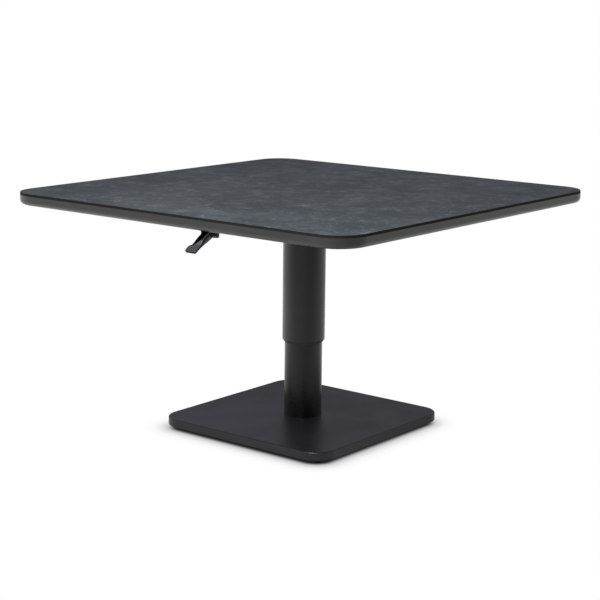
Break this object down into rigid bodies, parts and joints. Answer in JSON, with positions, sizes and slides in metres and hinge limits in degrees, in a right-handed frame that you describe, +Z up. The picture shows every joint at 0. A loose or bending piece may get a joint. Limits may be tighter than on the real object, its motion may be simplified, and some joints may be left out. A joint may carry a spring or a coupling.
{
  "type": "telescoping pedestal table",
  "caption": "Square height-adjustable table with a slate-look top in a metal rim, a round telescopic gas-spring column, a flat square base and a release lever.",
  "frame": {"origin": "on the floor below the middle of the column, at the bottom of the levelling feet", "axes": "+Z up; -Y is the side with the release lever; +X to the right seen from that side"},
  "size_m": [1, 1, 0.586],
  "materials": {
    "top_laminate": "slate-look printed laminate, satin",
    "rim_paint": "anthracite powder coat, fine texture",
    "rail_paint": "anthracite powder coat",
    "column_paint": "anthracite powder coat, fine texture",
    "base_paint": "anthracite powder coat, fine texture",
    "raw_steel": "dark mill scale",
    "zinc_steel": "zinc plated",
    "bearing_plastic": "black acetal",
    "spring_paint": "black satin enamel",
    "rod_chrome": "polished hard chrome",
    "head_casting": "plain die casting",
    "bracket_paint": "black powder coat",
    "lever_plastic": "black moulded plastic, fine grain",
    "cable_plastic": "black cable sheath",
    "foot_plastic": "black moulded plastic"
  },
  "bodies": {
    "base": {"base_cover": "base_paint", "ballast_plate": "raw_steel", "column_foot_plate": "raw_steel", "column_bolts": "zinc_steel", "foot_inserts": "zinc_steel", "lower_tube": "column_paint", "guide_bush": "bearing_plastic", "spring_cylinder": "spring_paint", "spring_nut": "zinc_steel", "spring_gland": "zinc_steel", "centring_ring": "bearing_plastic"},
    "top": {"top_panel": "top_laminate", "rim_frame": "rim_paint", "rail_left": "rail_paint", "rail_right": "rail_paint", "outrigger_left": "rail_paint", "outrigger_right": "rail_paint", "panel_screws": "zinc_steel", "mounting_plate": "rail_paint", "plate_bolts": "zinc_steel", "column_flange": "rail_paint", "flange_bolts": "zinc_steel", "upper_tube": "column_paint", "guide_collar": "bearing_plastic", "guide_key": "raw_steel", "piston": "bearing_plastic", "piston_rod": "rod_chrome", "release_head": "head_casting", "head_screws": "zinc_steel", "rocker_pin": "zinc_steel", "lever_bracket": "bracket_paint", "bracket_screws": "zinc_steel", "lever_pin": "zinc_steel", "cable_adjuster": "zinc_steel", "adjuster_nut": "zinc_steel", "cable_sheath": "cable_plastic", "cable_clip": "cable_plastic", "cable_clip_screw": "zinc_steel"},
    "lever": {"release_lever": "lever_plastic"},
    "rocker": {"release_rocker": "zinc_steel"},
    "pin": {"release_pin": "zinc_steel"},
    "lever_wire": {"inner_wire_lever_end": "zinc_steel"},
    "head_wire": {"inner_wire_head_end": "zinc_steel"},
    "foot_front_left": {"foot_glide_front_left": "foot_plastic", "foot_stud_front_left": "zinc_steel"},
    "foot_front_right": {"foot_glide_front_right": "foot_plastic", "foot_stud_front_right": "zinc_steel"},
    "foot_rear_left": {"foot_glide_rear_left": "foot_plastic", "foot_stud_rear_left": "zinc_steel"},
    "foot_rear_right": {"foot_glide_rear_right": "foot_plastic", "foot_stud_rear_right": "zinc_steel"}
  },
  "joints": [
    {"name": "lift", "type": "slide", "parent": "base", "child": "top", "axis": [0, 0, 1], "range_m": [-0.17, 0.085]},
    {"name": "lever_pull", "type": "hinge", "parent": "top", "child": "lever", "pos_m": [0.0755, -0.43, 0.539], "axis": [-1, 0, 0], "range_deg": [0, 15], "stiffness_Nm_per_rad": 2, "springref_deg": -28.65},
    {"name": "rocker_turn", "type": "hinge", "parent": "top", "child": "rocker", "pos_m": [0, 0.011, 0.5635], "axis": [1, 0, 0], "range_deg": [0, 16.51]},
    {"name": "pin_press", "type": "slide", "parent": "top", "child": "pin", "axis": [0, 0, -1], "range_m": [0, 0.00317]},
    {"name": "lever_wire_pull", "type": "slide", "parent": "top", "child": "lever_wire", "axis": [0, -0.8192, -0.5736], "range_m": [0, 0.00288]},
    {"name": "head_wire_pull", "type": "slide", "parent": "top", "child": "head_wire", "axis": [0, -1, 0], "range_m": [0, 0.00288]},
    {"name": "foot_screw_front_left", "type": "slide", "parent": "base", "child": "foot_front_left", "axis": [0, 0, -1], "range_m": [0, 0.008]},
    {"name": "foot_screw_front_right", "type": "slide", "parent": "base", "child": "foot_front_right", "axis": [0, 0, -1], "range_m": [0, 0.008]},
    {"name": "foot_screw_rear_left", "type": "slide", "parent": "base", "child": "foot_rear_left", "axis": [0, 0, -1], "range_m": [0, 0.008]},
    {"name": "foot_screw_rear_right", "type": "slide", "parent": "base", "child": "foot_rear_right", "axis": [0, 0, -1], "range_m": [0, 0.008]}
  ],
  "couplings": [
    {"joint": "rocker_turn", "follows": "lever_pull", "ratio": 1.1},
    {"joint": "pin_press", "follows": "lever_pull", "m_per_rad": 0.0121},
    {"joint": "lever_wire_pull", "follows": "lever_pull", "m_per_rad": 0.011},
    {"joint": "head_wire_pull", "follows": "lever_pull", "m_per_rad": 0.011}
  ]
}
